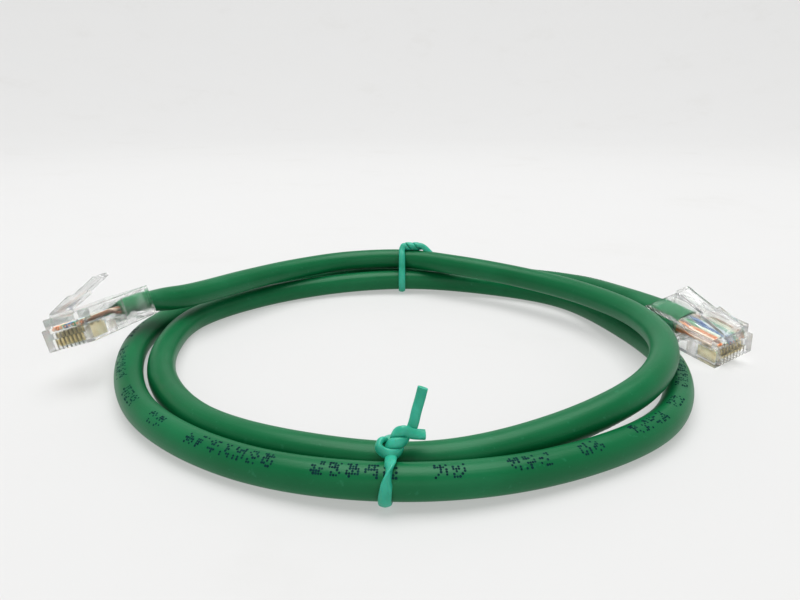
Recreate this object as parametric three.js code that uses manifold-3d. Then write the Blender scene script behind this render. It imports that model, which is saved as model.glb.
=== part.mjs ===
// Ethernet patch cable: a coiled UTP cable with two clear 8P8C modular plugs and two twist ties.
// Millimetres, +Z up. The origin is at the bottom centre of the whole part, on the table.
//
// Each plug is drawn in a frame of its own:
//   x  runs from the nose face to the rear of the plug,
//   y  points to the side of contact 1,
//   z  runs from the contact face to the latch face.

import * as THREE from 'three';
import { mergeVertices } from 'three/addons/utils/BufferGeometryUtils.js';
import Module from 'manifold-3d';

const wasm = await Module();
wasm.setup();

// ---------------------------------------------------------------- driving dimensions

const GAP = 0.3;                    // clearance kept between pieces that touch

// Cable
const CABLE_DIAMETER = 5.7;
const CABLE_SIDES = 10;
const CABLE_STEPS = 80;
const JACKET_END_WIDTH = 6.9;       // the jacket is pressed oval inside a plug
const JACKET_END_HEIGHT = 4.0;

// Plug body, after the modular plug standard
const PLUG_LENGTH = 21.46;
const PLUG_WIDTH = 11.68;
const PLUG_HEIGHT = 6.6;
const NOSE_STEP_LENGTH = 1.3;       // the upper part of the nose is set back
const NOSE_STEP_HEIGHT = 4.6;
const LATCH_ROOT_WIDTH = 6.02;

// Contacts
const CONTACT_COUNT = 8;
const CONTACT_PITCH = 1.016;
const CONTACT_THICKNESS = 0.35;
const SLOT_WIDTH = 0.59;
const SLOT_END = 6.3;               // x of the slots' rear end

// Conductors
const WIRE_DIAMETER = 0.9;
const WIRE_SIDES = 8;
const WIRE_STEPS = 12;
const WIRE_START = 1.2;             // x of the wires' front ends
const RIBBON_HEIGHT = 4.25;         // z of the row of wires under the latch face
const RIBBON_END = 8.8;             // x where the wires start to fan in
const CHANNEL_WIDTH = 8.7;
const PAIR_SPACING = 0.51;          // half the distance between the two wires of a pair
const PAIR_PITCH_AT_JACKET = 1.6;

// Jacket cavity and strain relief
const CAVITY_START = 12.8;
const CAVITY_WIDTH = 7.6;
const CAVITY_FLOOR = 1.1;
const CAVITY_ROOF = 5.85;
const JACKET_START = 13.3;
const JACKET_HEIGHT = 3.5;          // z of the jacket's middle inside the plug
const WEDGE_WIDTH = 5.0;
const WEDGE_TIP = [16.2, 2.7];      // x, z of the edge that bites into the jacket
const POCKET_WIDTH = 7.8;

// Latch
const LATCH_HINGE = [0.9, 7.25];    // x, z of the living hinge
const LATCH_REST_ANGLE = 16.5;      // degrees above the latch face
const LATCH_THICKNESS = 0.8;
const LATCH_SHOULDER = 6.6;         // distance from the hinge to the locking shoulders
const LATCH_LENGTH = 15.4;
const LATCH_TAB_WIDTH = 3.9;

// Twist ties
const TIE_WIDTH = 1.9;
const TIE_THICKNESS = 0.55;
const TIE_SLACK = 0.45;             // room between a band and the bent cable inside it
const TIE_SIDES = 8;
const TIE_END_THICKNESS = 1.1;
const TIE_KNOT_WIDTH = 2.7;

// Where the middle of the coil lies, seen from the part's origin
const COIL_CENTRE = [-3.86, -3.23, 0];

// Places of the two plugs, seen from the middle of the coil: the bottom edge of the nose, then the
// turn of the plug's x axis, its climb towards the rear and its roll, in degrees
const PLUG_A = { origin: [-64.86, -17.43, 9.59], turn: 75.6, climb: -1.7, roll: -18.1 };
const PLUG_B = { origin: [74.49, -2.42, 1.16], turn: 118.7, climb: 7.2, roll: -11.2 };

// The middle line of the cable from just behind plug A to just behind plug B, seen from the middle of
// the coil. It lies on the table, on the bottoms of the ties, or on a turn below it.
const ROUTE = [
  // from plug A along the back, on top of the coil
  [-60.3, 4.7, 12.27], [-57.6, 10.6, 11.2], [-52.2, 18.4, 10.2], [-41.2, 36.8, 9.5],
  [-30.5, 50.4, 9.2], [-15.5, 60.8, 9.3], [2, 61.6, 9.75], [17, 53.4, 9.7],
  // down over the lower turn at the right
  [33.5, 41.2, 9.2], [47, 24.5, 9.1], [54.6, 5, 9.1], [53.5, -16, 9.0],
  [43.6, -33.7, 7.8], [25.3, -45.6, 5.0],
  // inner turn on the table
  [5, -52.7, 3.95], [-14.5, -49.2, 3.65], [-34, -37.2, 2.9], [-46.8, -18.8, 2.9],
  [-52.6, 3, 2.9], [-51.5, 24, 2.9], [-39, 43, 2.9], [-19, 55.8, 3.3],
  [3, 59, 3.85], [26, 55.6, 3.1], [45, 43.2, 2.9], [54.8, 19, 2.9],
  // outer turn on the table
  [57.7, -10.3, 2.9], [46.8, -37.1, 2.9], [24, -53.1, 3.0], [0, -59.15, 3.85],
  [-24.2, -51.9, 3.0], [-45.1, -34.4, 2.9], [-57.2, -8.7, 2.9], [-59.9, 14.3, 2.9],
  // outside at the back, up to plug B
  [-50.5, 41.3, 2.9], [-26, 61.5, 3.2], [2, 65.6, 3.85], [30, 61.8, 4.4],
  [51, 46, 5.6], [60.0, 26.5, 6.8], [63.4, 16.4, 7.4],
];

// ---------------------------------------------------------------- materials

function plastic(colour, roughness) {
  return new THREE.MeshStandardMaterial({ color: colour, roughness, metalness: 0 });
}

const MATERIALS = {
  jacket: plastic(0x2b6f53, 0.45),
  tie: plastic(0x3aa486, 0.5),
  clear: new THREE.MeshStandardMaterial({
    color: 0xe4e8e4, roughness: 0.08, metalness: 0, transparent: true, opacity: 0.35,
  }),
  contact: new THREE.MeshStandardMaterial({ color: 0xc9a24a, roughness: 0.3, metalness: 1 }),
};

// T568B order, contact 1 first
const WIRES = [
  ['white_orange', 0xe8cdbb], ['orange', 0xd9733a], ['white_green', 0xcfe0cf], ['blue', 0x3a5f9e],
  ['white_blue', 0xc9d3e4], ['green', 0x3f8a58], ['white_brown', 0xdccfc2], ['brown', 0x7a5340],
];

// ---------------------------------------------------------------- solids

function degrees(angle) {
  return THREE.MathUtils.degToRad(angle);
}

function toSolid(geometry) {
  const bare = geometry.clone();
  bare.deleteAttribute('normal');
  bare.deleteAttribute('uv');
  const merged = mergeVertices(bare, 1e-4);
  return new wasm.Manifold(new wasm.Mesh({
    numProp: 3,
    vertProperties: new Float32Array(merged.attributes.position.array),
    triVerts: new Uint32Array(merged.index.array),
  }));
}

function toGeometry(solid) {
  const mesh = solid.getMesh();
  const geometry = new THREE.BufferGeometry();
  geometry.setAttribute('position', new THREE.BufferAttribute(mesh.vertProperties, 3));
  geometry.setIndex(new THREE.BufferAttribute(mesh.triVerts, 1));
  geometry.computeVertexNormals();
  return geometry;
}

function joined(geometries) {
  return geometries.map(toSolid).reduce((whole, piece) => whole.add(piece));
}

// A side outline of [x, z] points, swept across y
function slab(outline, width, middle = 0) {
  const shape = new THREE.Shape(outline.map(([x, z]) => new THREE.Vector2(x, z)));
  const geometry = new THREE.ExtrudeGeometry(shape, { depth: width, bevelEnabled: false, steps: 1 });
  geometry.rotateX(Math.PI / 2);
  geometry.translate(0, middle + width / 2, 0);
  return geometry;
}

function oval(width, height, sides) {
  const points = [];
  for (let i = 0; i < sides; i += 1) {
    const angle = (2 * Math.PI * (i + 0.5)) / sides;
    points.push(new THREE.Vector2((width / 2) * Math.cos(angle), (height / 2) * Math.sin(angle)));
  }
  return new THREE.Shape(points);
}

function tube(section, curve, steps) {
  return new THREE.ExtrudeGeometry(section, { extrudePath: curve, steps, bevelEnabled: false });
}

function curveThrough(points) {
  return new THREE.CatmullRomCurve3(points.map((point) => new THREE.Vector3(...point)));
}

// A flat band bent tightly round a row or triangle of strands that run along x. The strands' centres
// are [y, z] points in counter-clockwise order.
function bandOutline(centres, radius) {
  const outline = [];
  centres.forEach((centre, i) => {
    const before = centres[(i + centres.length - 1) % centres.length];
    const after = centres[(i + 1) % centres.length];
    const arrive = Math.atan2(centre[1] - before[1], centre[0] - before[0]) - Math.PI / 2;
    let leave = Math.atan2(after[1] - centre[1], after[0] - centre[0]) - Math.PI / 2;
    while (leave < arrive) leave += 2 * Math.PI;
    const steps = Math.max(2, Math.ceil((leave - arrive) / degrees(22.5)));
    for (let k = 0; k <= steps; k += 1) {
      const angle = arrive + ((leave - arrive) * k) / steps;
      outline.push(new THREE.Vector2(
        centre[0] + radius * Math.cos(angle),
        centre[1] + radius * Math.sin(angle),
      ));
    }
  });
  return outline;
}

function band(centres, middle) {
  const inside = CABLE_DIAMETER / 2 + TIE_SLACK;
  const shape = new THREE.Shape(bandOutline(centres, inside + TIE_THICKNESS));
  shape.holes.push(new THREE.Path(bandOutline(centres, inside)));
  const geometry = new THREE.ExtrudeGeometry(shape, { depth: TIE_WIDTH, bevelEnabled: false });
  // shape x, y and depth become part y, z and x
  geometry.applyMatrix4(new THREE.Matrix4().makeBasis(
    new THREE.Vector3(0, 1, 0),
    new THREE.Vector3(0, 0, 1),
    new THREE.Vector3(1, 0, 0),
  ));
  geometry.translate(middle - TIE_WIDTH / 2, 0, 0);
  return geometry;
}

// ---------------------------------------------------------------- plug

function plugHousing() {
  let body = joined([
    slab([
      [0, 0], [PLUG_LENGTH, 0], [PLUG_LENGTH, PLUG_HEIGHT], [NOSE_STEP_LENGTH, PLUG_HEIGHT],
      [NOSE_STEP_LENGTH, NOSE_STEP_HEIGHT], [0, NOSE_STEP_HEIGHT],
    ], PLUG_WIDTH),
    // the post that the latch grows from
    slab([
      [0.15, NOSE_STEP_HEIGHT - 0.5], [2, NOSE_STEP_HEIGHT - 0.5], [2, PLUG_HEIGHT],
      [0.45, PLUG_HEIGHT], [0.15, PLUG_HEIGHT - 0.6],
    ], LATCH_ROOT_WIDTH),
  ]);
  const channelFloor = RIBBON_HEIGHT - WIRE_DIAMETER / 2 - GAP;
  const channelRoof = RIBBON_HEIGHT + WIRE_DIAMETER / 2 + GAP;
  const cuts = [
    // flat channel for the row of wires, widening towards the jacket
    slab([
      [0.9, channelFloor], [RIBBON_END, channelFloor], [CAVITY_START + 0.1, 2.2],
      [CAVITY_START + 0.1, CAVITY_ROOF], [RIBBON_END, channelRoof], [0.9, channelRoof],
    ], CHANNEL_WIDTH),
    // jacket cavity, open at the rear
    slab([
      [CAVITY_START, CAVITY_FLOOR], [PLUG_LENGTH + 1, CAVITY_FLOOR],
      [PLUG_LENGTH + 1, CAVITY_ROOF], [CAVITY_START, CAVITY_ROOF],
    ], CAVITY_WIDTH),
    // pocket of the wire strain relief, open at the contact face
    slab([[8.9, -1], [12.4, -1], [12.4, 1.4], [8.9, 2.55]], POCKET_WIDTH),
  ];
  for (let pin = 1; pin <= CONTACT_COUNT; pin += 1) {
    cuts.push(slab([
      [-1, -1], [SLOT_END, -1], [SLOT_END, channelFloor + 0.2], [0.95, channelFloor + 0.2],
      [0.95, 2.4], [-1, 2.4],
    ], SLOT_WIDTH, pinOffset(pin)));
  }
  for (const cut of cuts) body = body.subtract(toSolid(cut));
  // the wedge that holds the jacket, and the hollow behind it
  body = body.add(toSolid(slab([
    [15.4, CAVITY_FLOOR - 0.3], [19.3, CAVITY_FLOOR - 0.3], [19.3, CAVITY_FLOOR], WEDGE_TIP, [15.4, 1.5],
  ], WEDGE_WIDTH)));
  body = body.subtract(toSolid(slab([[16.6, -0.5], [19.8, -0.5], [19.8, 0.2], [16.6, 1.75]], WEDGE_WIDTH - 0.8)));
  return toGeometry(body);
}

function pinOffset(pin) {
  return ((CONTACT_COUNT + 1) / 2 - pin) * CONTACT_PITCH;
}

function contactBlade() {
  return slab([
    [0.75, 1.1], [1.35, 0.5], [5.9, 0.5], [5.9, 3.0], [5.2, 3.0], [5.2, 3.45],
    [4.3, 2.9], [3.3, 3.45], [2.4, 2.9], [1.6, 3.45], [1.6, 2.1], [0.75, 2.1],
  ], CONTACT_THICKNESS);
}

// Wires 1 and 2, 3 and 4, 5 and 6, 7 and 8 lie above each other at the jacket and turn flat beside
// each other on the way to the contacts.
function wire(pin) {
  const side = pin % 2 === 1 ? 1 : -1;
  const pair = Math.ceil(pin / 2);
  const points = [];
  const end = JACKET_START - GAP;
  for (let k = 0; k <= 8; k += 1) {
    const along = WIRE_START + ((end - WIRE_START) * k) / 8;
    const fan = THREE.MathUtils.smoothstep(along, RIBBON_END - 0.5, end - 0.4);
    const pitch = THREE.MathUtils.lerp(2 * CONTACT_PITCH, PAIR_PITCH_AT_JACKET, fan);
    const turn = degrees(90) * fan;
    points.push([
      along,
      (2.5 - pair) * pitch + side * PAIR_SPACING * Math.cos(turn),
      THREE.MathUtils.lerp(RIBBON_HEIGHT, JACKET_HEIGHT, fan) + side * PAIR_SPACING * Math.sin(turn),
    ]);
  }
  return tube(oval(WIRE_DIAMETER, WIRE_DIAMETER, WIRE_SIDES), curveThrough(points), WIRE_STEPS);
}

// Drawn flat behind its hinge, which is at the origin of its own frame
function latch() {
  const half = LATCH_THICKNESS / 2;
  const blade = slab([
    [-0.35, -half], [LATCH_SHOULDER - 0.3, -half], [LATCH_SHOULDER - 0.3, half], [0.2, half], [-0.35, 0],
  ], LATCH_ROOT_WIDTH);
  const shoulder = slab([
    [1.6, -half], [LATCH_SHOULDER, -half], [LATCH_SHOULDER, half + 0.15], [4.8, half + 0.15], [1.6, half],
  ], LATCH_ROOT_WIDTH);
  const tab = slab([
    [3, -half], [LATCH_LENGTH, -half], [LATCH_LENGTH, half - 0.2], [LATCH_LENGTH - 0.5, half],
    [3, half],
  ], LATCH_TAB_WIDTH);
  return toGeometry(joined([blade, shoulder, tab]));
}

function plug(name, place) {
  const frame = new THREE.Group();
  frame.position.set(...place.origin);
  frame.rotation.set(degrees(place.roll), degrees(-place.climb), degrees(place.turn), 'ZYX');

  const housing = new THREE.Mesh(plugHousing(), MATERIALS.clear);
  housing.name = `${name}_housing`;
  frame.add(housing);

  const tab = new THREE.Mesh(latch(), MATERIALS.clear);
  tab.name = `${name}_latch`;
  tab.position.set(LATCH_HINGE[0], 0, LATCH_HINGE[1]);
  tab.rotation.y = degrees(-LATCH_REST_ANGLE);
  frame.add(tab);

  for (let pin = 1; pin <= CONTACT_COUNT; pin += 1) {
    const blade = new THREE.Mesh(contactBlade(), MATERIALS.contact);
    blade.name = `${name}_contact_${pin}`;
    blade.position.y = pinOffset(pin);
    frame.add(blade);
    const [colourName, colour] = WIRES[pin - 1];
    const conductor = new THREE.Mesh(wire(pin), plastic(colour, 0.5));
    conductor.name = `${name}_wire_${pin}_${colourName}`;
    frame.add(conductor);
  }
  frame.updateMatrix();
  return frame;
}

// ---------------------------------------------------------------- cable

// The pressed end of the jacket inside a plug, dented by the plug's wedge
function jacketEnd(frame) {
  const radius = JACKET_END_HEIGHT / 2;
  const flat = JACKET_END_WIDTH / 2 - radius;
  const section = new THREE.Shape();
  section.absarc(flat, 0, radius, -Math.PI / 2, Math.PI / 2);
  section.absarc(-flat, 0, radius, Math.PI / 2, (3 * Math.PI) / 2);
  const end = new THREE.ExtrudeGeometry(section, {
    depth: PLUG_LENGTH + 2.4 - JACKET_START,
    bevelEnabled: false,
    curveSegments: 5,
  });
  // section x, y and depth become plug y, z and x
  end.applyMatrix4(new THREE.Matrix4().makeBasis(
    new THREE.Vector3(0, 1, 0),
    new THREE.Vector3(0, 0, 1),
    new THREE.Vector3(1, 0, 0),
  ));
  end.translate(JACKET_START, 0, JACKET_HEIGHT);
  const dent = slab([
    [15.1, 0], [19.9, 0], [19.9, CAVITY_FLOOR + GAP], [WEDGE_TIP[0] + 0.1, WEDGE_TIP[1] + 1.2 * GAP],
    [15.9, WEDGE_TIP[1] + 0.5 * GAP], [15.1, 1.6],
  ], WEDGE_WIDTH + 2 * GAP);
  return toSolid(toGeometry(toSolid(end).subtract(toSolid(dent))).applyMatrix4(frame.matrix));
}

function cableJacket(frames) {
  const run = curveThrough(ROUTE);
  run.arcLengthDivisions = 1600;
  const section = oval(CABLE_DIAMETER, CABLE_DIAMETER, CABLE_SIDES);
  let jacket = toSolid(tube(section, run, CABLE_STEPS));
  for (const frame of frames) jacket = jacket.add(jacketEnd(frame));
  return toGeometry(jacket);
}

// ---------------------------------------------------------------- twist ties

function wireEnd(width, thickness, points) {
  return tube(oval(width, thickness, TIE_SIDES), curveThrough(points), 8);
}

function twistTie(strands, middle, knot, ends) {
  return toGeometry(joined([
    band(strands, middle),
    wireEnd(TIE_KNOT_WIDTH, TIE_KNOT_WIDTH, knot),
    ...ends.map((points) => wireEnd(TIE_WIDTH, TIE_END_THICKNESS, points)),
  ]));
}

function frontTie() {
  return twistTie(
    [[-59.1, 3.85], [-52.5, 3.85]],
    -1.1,
    [[-2.0, -56.2, 7.7], [0.2, -55.4, 8.7], [2.4, -54.6, 10.0]],
    [
      [[1.0, -55.2, 9.4], [2.6, -54.9, 9.4], [4.1, -54.6, 9.2]],
      [[1.7, -54.6, 9.6], [2.7, -53.7, 11.4], [3.4, -53.0, 13.4], [3.9, -52.5, 15.6]],
    ],
  );
}

function backTie() {
  return twistTie(
    [[58.95, 3.85], [65.6, 3.85], [61.85, 9.75]],
    1.0,
    [[1.2, 61.7, 14.0], [4.2, 61.3, 14.0], [7.8, 60.8, 13.9]],
    [
      [[6.6, 60.8, 13.9], [8.8, 60.3, 13.4], [10.4, 59.9, 12.6]],
      [[6.4, 61.0, 14.0], [8.0, 61.6, 14.3], [9.0, 62.4, 14.2]],
    ],
  );
}

// ---------------------------------------------------------------- assembly

const group = new THREE.Group();
group.position.set(...COIL_CENTRE);

const plugFrames = [plug('plug_a', PLUG_A), plug('plug_b', PLUG_B)];
for (const frame of plugFrames) group.add(frame);

const jacketMesh = new THREE.Mesh(cableJacket(plugFrames), MATERIALS.jacket);
jacketMesh.name = 'cable_jacket';
group.add(jacketMesh);

for (const [name, geometry] of [['twist_tie_front', frontTie()], ['twist_tie_back', backTie()]]) {
  const tie = new THREE.Mesh(geometry, MATERIALS.tie);
  tie.name = name;
  group.add(tie);
}

export default group;
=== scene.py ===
# Looks of the ethernet patch cable: PVC jacket, clear modular plugs, twist ties, floor and light.
# Shapes are worked out in millimetres and become metres when a mesh is made. Each plug is drawn in a
# frame of its own: x from the nose to the rear, y to the side of contact 1, z to the latch face.

import math
import random

import bmesh
import bpy
from mathutils import Matrix, Vector


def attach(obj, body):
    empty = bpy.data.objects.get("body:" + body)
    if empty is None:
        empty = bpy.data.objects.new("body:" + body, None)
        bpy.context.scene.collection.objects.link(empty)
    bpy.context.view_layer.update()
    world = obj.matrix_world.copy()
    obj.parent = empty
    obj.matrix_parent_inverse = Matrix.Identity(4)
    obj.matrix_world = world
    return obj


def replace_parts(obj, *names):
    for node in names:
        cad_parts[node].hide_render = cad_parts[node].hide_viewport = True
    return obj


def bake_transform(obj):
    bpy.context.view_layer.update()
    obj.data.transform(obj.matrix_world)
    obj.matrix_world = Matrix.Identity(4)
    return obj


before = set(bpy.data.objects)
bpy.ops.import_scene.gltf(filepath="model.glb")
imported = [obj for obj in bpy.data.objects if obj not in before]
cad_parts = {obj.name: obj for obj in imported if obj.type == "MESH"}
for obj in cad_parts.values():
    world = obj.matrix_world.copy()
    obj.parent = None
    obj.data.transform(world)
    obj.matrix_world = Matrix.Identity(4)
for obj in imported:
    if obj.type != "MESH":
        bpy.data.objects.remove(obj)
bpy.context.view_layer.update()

MM = 0.001
UP = Vector((0.0, 0.0, 1.0))

# ---------------------------------------------------------------- dimensions, as in part.mjs

GAP = 0.3                    # clearance kept between the wires and their channel

CABLE_DIAMETER = 5.7
JACKET_END_WIDTH = 6.9       # the jacket is pressed oval inside a plug
JACKET_END_HEIGHT = 4.0

PLUG_LENGTH = 21.46
PLUG_WIDTH = 11.68
PLUG_HEIGHT = 6.6
NOSE_STEP_LENGTH = 1.3       # the upper part of the nose is set back
NOSE_STEP_HEIGHT = 4.6

CONTACT_COUNT = 8
CONTACT_PITCH = 1.016
CONTACT_THICKNESS = 0.35
SLOT_WIDTH = 0.59
SLOT_END = 6.3               # x of the slots' rear end

WIRE_DIAMETER = 0.9
WIRE_START = 1.2             # x of the wires' front ends
RIBBON_HEIGHT = 4.25         # z of the row of wires under the latch face
RIBBON_END = 8.8             # x where the wires start to fan in
CHANNEL_WIDTH = 8.7
PAIR_SPACING = 0.51          # half the distance between the two wires of a pair
PAIR_PITCH_AT_JACKET = 1.6

CAVITY_START = 12.8
CAVITY_WIDTH = 7.6
CAVITY_FLOOR = 1.1
CAVITY_ROOF = 5.85
JACKET_START = 13.3
JACKET_HEIGHT = 3.5          # z of the jacket's middle inside the plug
WEDGE_WIDTH = 5.0
WEDGE_TIP = (16.2, 2.7)      # x, z of the edge that bites into the jacket
POCKET_WIDTH = 7.8

LATCH_HINGE = (0.9, 7.25)    # x, z of the living hinge
LATCH_REST_ANGLE = 16.5      # degrees above the latch face
LATCH_ROOT_WIDTH = 6.02
LATCH_SHOULDER = 6.6         # distance from the hinge to the locking shoulders
LATCH_LENGTH = 15.4
LATCH_TAB_WIDTH = 3.9

# Where the middle of the coil lies, seen from the part's origin
COIL_CENTRE = Vector((-3.86, -3.23, 0.0))

# Places of the two plugs, seen from the middle of the coil: the bottom edge of the nose, then the
# turn of the plug's x axis, its climb towards the rear and its roll, in degrees
PLUGS = {
    "a": {"origin": (-64.86, -17.43, 9.59), "turn": 75.6, "climb": -1.7, "roll": -18.1},
    "b": {"origin": (74.49, -2.42, 1.16), "turn": 118.7, "climb": 7.2, "roll": -11.2},
}

# Middle line of the cable between the plugs, seen from the middle of the coil
ROUTE = [
    # from plug A along the back, on top of the coil
    (-60.3, 4.7, 12.27), (-57.6, 10.6, 11.2), (-52.2, 18.4, 10.2), (-41.2, 36.8, 9.5),
    (-30.5, 50.4, 9.2), (-15.5, 60.8, 9.3), (2, 61.6, 9.75), (17, 53.4, 9.7),
    # down over the lower turn at the right
    (33.5, 41.2, 9.2), (47, 24.5, 9.1), (54.6, 5, 9.1), (53.5, -16, 9.0),
    (43.6, -33.7, 7.8), (25.3, -45.6, 5.0),
    # inner turn on the table
    (5, -52.7, 3.95), (-14.5, -49.2, 3.65), (-34, -37.2, 2.9), (-46.8, -18.8, 2.9),
    (-52.6, 3, 2.9), (-51.5, 24, 2.9), (-39, 43, 2.9), (-19, 55.8, 3.3),
    (3, 59, 3.85), (26, 55.6, 3.1), (45, 43.2, 2.9), (54.8, 19, 2.9),
    # outer turn on the table
    (57.7, -10.3, 2.9), (46.8, -37.1, 2.9), (24, -53.1, 3.0), (0, -59.15, 3.85),
    (-24.2, -51.9, 3.0), (-45.1, -34.4, 2.9), (-57.2, -8.7, 2.9), (-59.9, 14.3, 2.9),
    # outside at the back, up to plug B
    (-50.5, 41.3, 2.9), (-26, 61.5, 3.2), (2, 65.6, 3.85), (30, 61.8, 4.4),
    (51, 46, 5.6), (60.0, 26.5, 6.8), (63.4, 16.4, 7.4),
]

# ---------------------------------------------------------------- dimensions of the looks

ROUTE_STEPS = 24
JACKET_SIDES = 40
JACKET_RING_STEP = 1.2
JACKET_RING_STEP_IN_PLUG = 0.4
JACKET_WALL = 0.6
JACKET_RECESS = 1.6          # how far one can look into the cut end of the jacket
JACKET_HELD = PLUG_LENGTH - JACKET_START
ROUND_AGAIN = (1.0, 13.0)    # how far outside a plug the jacket turns round again, from and to
UPRIGHT_AGAIN = (2.0, 35.0)  # how far outside a plug its tilt dies out along the jacket
DENT_EDGE = 0.7              # how far the dent over the wedge fades out sideways

# x from the nose and lowest z of the jacket in the dent over the wedge
DENT = [(15.1, 1.5), (15.9, 2.85), (16.3, 3.06), (19.9, 1.5)]

# x of the parts inside the housing
CHANNEL_START = 0.9
SLOT_START = 0.95
POCKET_START = 8.9
POCKET_END = 12.4
WEDGE_START = 15.4
WEDGE_END = 19.3
MOUTH_LENGTH = 0.7           # the cavity flares over this length at the plug's rear

HOUSING_ROUNDING = 0.22
CAVITY_ROUNDING = 0.15
CHANNEL_ROUNDING = 0.08
POST_ROUNDING = 0.1
LATCH_ROUNDING = 0.16
CONTACT_ROUNDING = 0.05

WIRE_SIDES = 14
WIRE_STEPS = 44
WIRE_EDGE = 0.04             # rounding of the insulation's cut end
COPPER_RADIUS = 0.24

# T568B order, contact 1 first: name, colour and the colour of the stripe
WIRES = [
    ("white_orange", (0.76, 0.60, 0.49), (0.56, 0.19, 0.070)),
    ("orange", (0.56, 0.19, 0.070), None),
    ("white_green", (0.66, 0.76, 0.66), (0.05, 0.28, 0.12)),
    ("blue", (0.040, 0.11, 0.28), None),
    ("white_blue", (0.62, 0.67, 0.73), (0.045, 0.12, 0.30)),
    ("green", (0.04, 0.26, 0.11), None),
    ("white_brown", (0.74, 0.66, 0.56), (0.22, 0.10, 0.045)),
    ("brown", (0.20, 0.09, 0.045), None),
]
STRIPE_TURNS = 90.0          # turns of a stripe round its wire in a metre
STRIPE_SHARE = 0.34

INK_DOT_RADIUS = 0.22
INK_DOT_SIDES = 8
INK_DOT_PITCH = 0.40
INK_DOT_CHANCE = 0.46
INK_COLUMNS = 5
INK_ROWS = 6
INK_MARK_PITCH = 2.6
INK_LIFT = 0.02
INK_MARGIN = 30.0            # bare length at each end of the cable
INK_ANGLE = 60.0             # degrees above the horizontal, on the outside of the coil
INK_RISE = 22.0              # the print lies this much higher at the right of the outer turn
INK_TURN = 150.0             # and this much lower on the rest, under the cable

TIE_WIDTH = 1.95
TIE_THICKNESS = 0.8
TIE_SIDES = 20
TIE_STEPS = 10
TIE_CORE = (0.38, 0.09)      # half width and height of the ridge over the tie's wire
ROLLED_WIDTH = 0.84          # shares of the flat tie's width and thickness where it is rolled up
ROLLED_THICKNESS = 1.25
FRONT_KNOT_RADIUS = 0.92
BACK_KNOT_RADIUS = 0.76

FLOOR_RADIUS = 700.0         # the flat part
BOWL_RADIUS = 900.0          # the curve up from the flat part to the wall
WALL_TOP = 1200.0
BOWL_STEPS = 16
BOWL_SIDES = 96

CAMERA_PLACE = (-3.46, -154.87, 57.82)
CAMERA_TILT = 74.0           # degrees up from looking straight down
CAMERA_LENS = 32.175
CAMERA_SENSOR = 36.0


# ---------------------------------------------------------------- numbers and curves

def lerp(a, b, t):
    return a + (b - a) * t


def smoothstep(x, low, high):
    t = min(1.0, max(0.0, (x - low) / (high - low)))
    return t * t * (3 - 2 * t)


def catmull_rom(points, steps):
    """A smooth curve through the points, evenly knotted by the root of their distance."""
    least = 1e-4
    pts = [Vector(p) for p in points]
    pts = [2 * pts[0] - pts[1]] + pts + [2 * pts[-1] - pts[-2]]
    out = []
    for p0, p1, p2, p3 in zip(pts, pts[1:], pts[2:], pts[3:]):
        d0 = max(least, (p1 - p0).length ** 0.5)
        d1 = max(least, (p2 - p1).length ** 0.5)
        d2 = max(least, (p3 - p2).length ** 0.5)
        leave = ((p1 - p0) / d0 - (p2 - p0) / (d0 + d1) + (p2 - p1) / d1) * d1
        arrive = ((p2 - p1) / d1 - (p3 - p1) / (d1 + d2) + (p3 - p2) / d2) * d1
        for k in range(steps):
            t = k / steps
            out.append(
                p1 * (2 * t**3 - 3 * t**2 + 1) + leave * (t**3 - 2 * t**2 + t)
                + p2 * (3 * t**2 - 2 * t**3) + arrive * (t**3 - t**2)
            )
    out.append(pts[-2])
    return out


def lengths_along(points):
    out = [0.0]
    for a, b in zip(points, points[1:]):
        out.append(out[-1] + (b - a).length)
    return out


def tangents(points):
    last = len(points) - 1
    return [
        (points[min(i + 1, last)] - points[max(i - 1, 0)]).normalized()
        for i in range(last + 1)
    ]


class Line:
    """A dense polyline that can be read at any length along it."""

    def __init__(self, points):
        self.points = points
        self.along = lengths_along(points)
        self.tangents = tangents(points)
        self.length = self.along[-1]
        self.cursor = 0

    def at(self, s):
        """(point, tangent) at length s."""
        while self.cursor > 0 and self.along[self.cursor] > s:
            self.cursor -= 1
        while self.cursor < len(self.points) - 2 and self.along[self.cursor + 1] < s:
            self.cursor += 1
        i = self.cursor
        t = (s - self.along[i]) / (self.along[i + 1] - self.along[i])
        point = self.points[i].lerp(self.points[i + 1], t)
        return point, self.tangents[i].lerp(self.tangents[i + 1], t).normalized()


# ---------------------------------------------------------------- meshes

def plug_matrix(place):
    """Plug millimetres to part millimetres."""
    return (
        Matrix.Translation(Vector(place["origin"]) + COIL_CENTRE)
        @ Matrix.Rotation(math.radians(place["turn"]), 4, "Z")
        @ Matrix.Rotation(math.radians(-place["climb"]), 4, "Y")
        @ Matrix.Rotation(math.radians(place["roll"]), 4, "X")
    )


def link(made):
    bpy.context.scene.collection.objects.link(made)
    return made


def add_object(name, mesh, material=None, sharp_angle=None):
    """A smoothly shaded object, with sharp edges where its faces meet at more than the angle."""
    piece = link(bpy.data.objects.new(name, mesh))
    if material is not None:
        mesh.materials.append(material)
    mesh.shade_smooth()
    if sharp_angle is not None:
        mesh.set_sharp_from_angle(angle=math.radians(sharp_angle))
    return piece


def mesh_from(name, points, faces, uvs=None):
    """points are part millimetres. uvs has one (u, v) for each corner of each face."""
    mesh = bpy.data.meshes.new(name)
    mesh.from_pydata([Vector(p) * MM for p in points], [], faces)
    if uvs is not None:
        layer = mesh.uv_layers.new(name="along_and_round")
        for loop, uv in zip(layer.data, uvs):
            loop.uv = uv
    mesh.validate()
    return mesh


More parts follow.
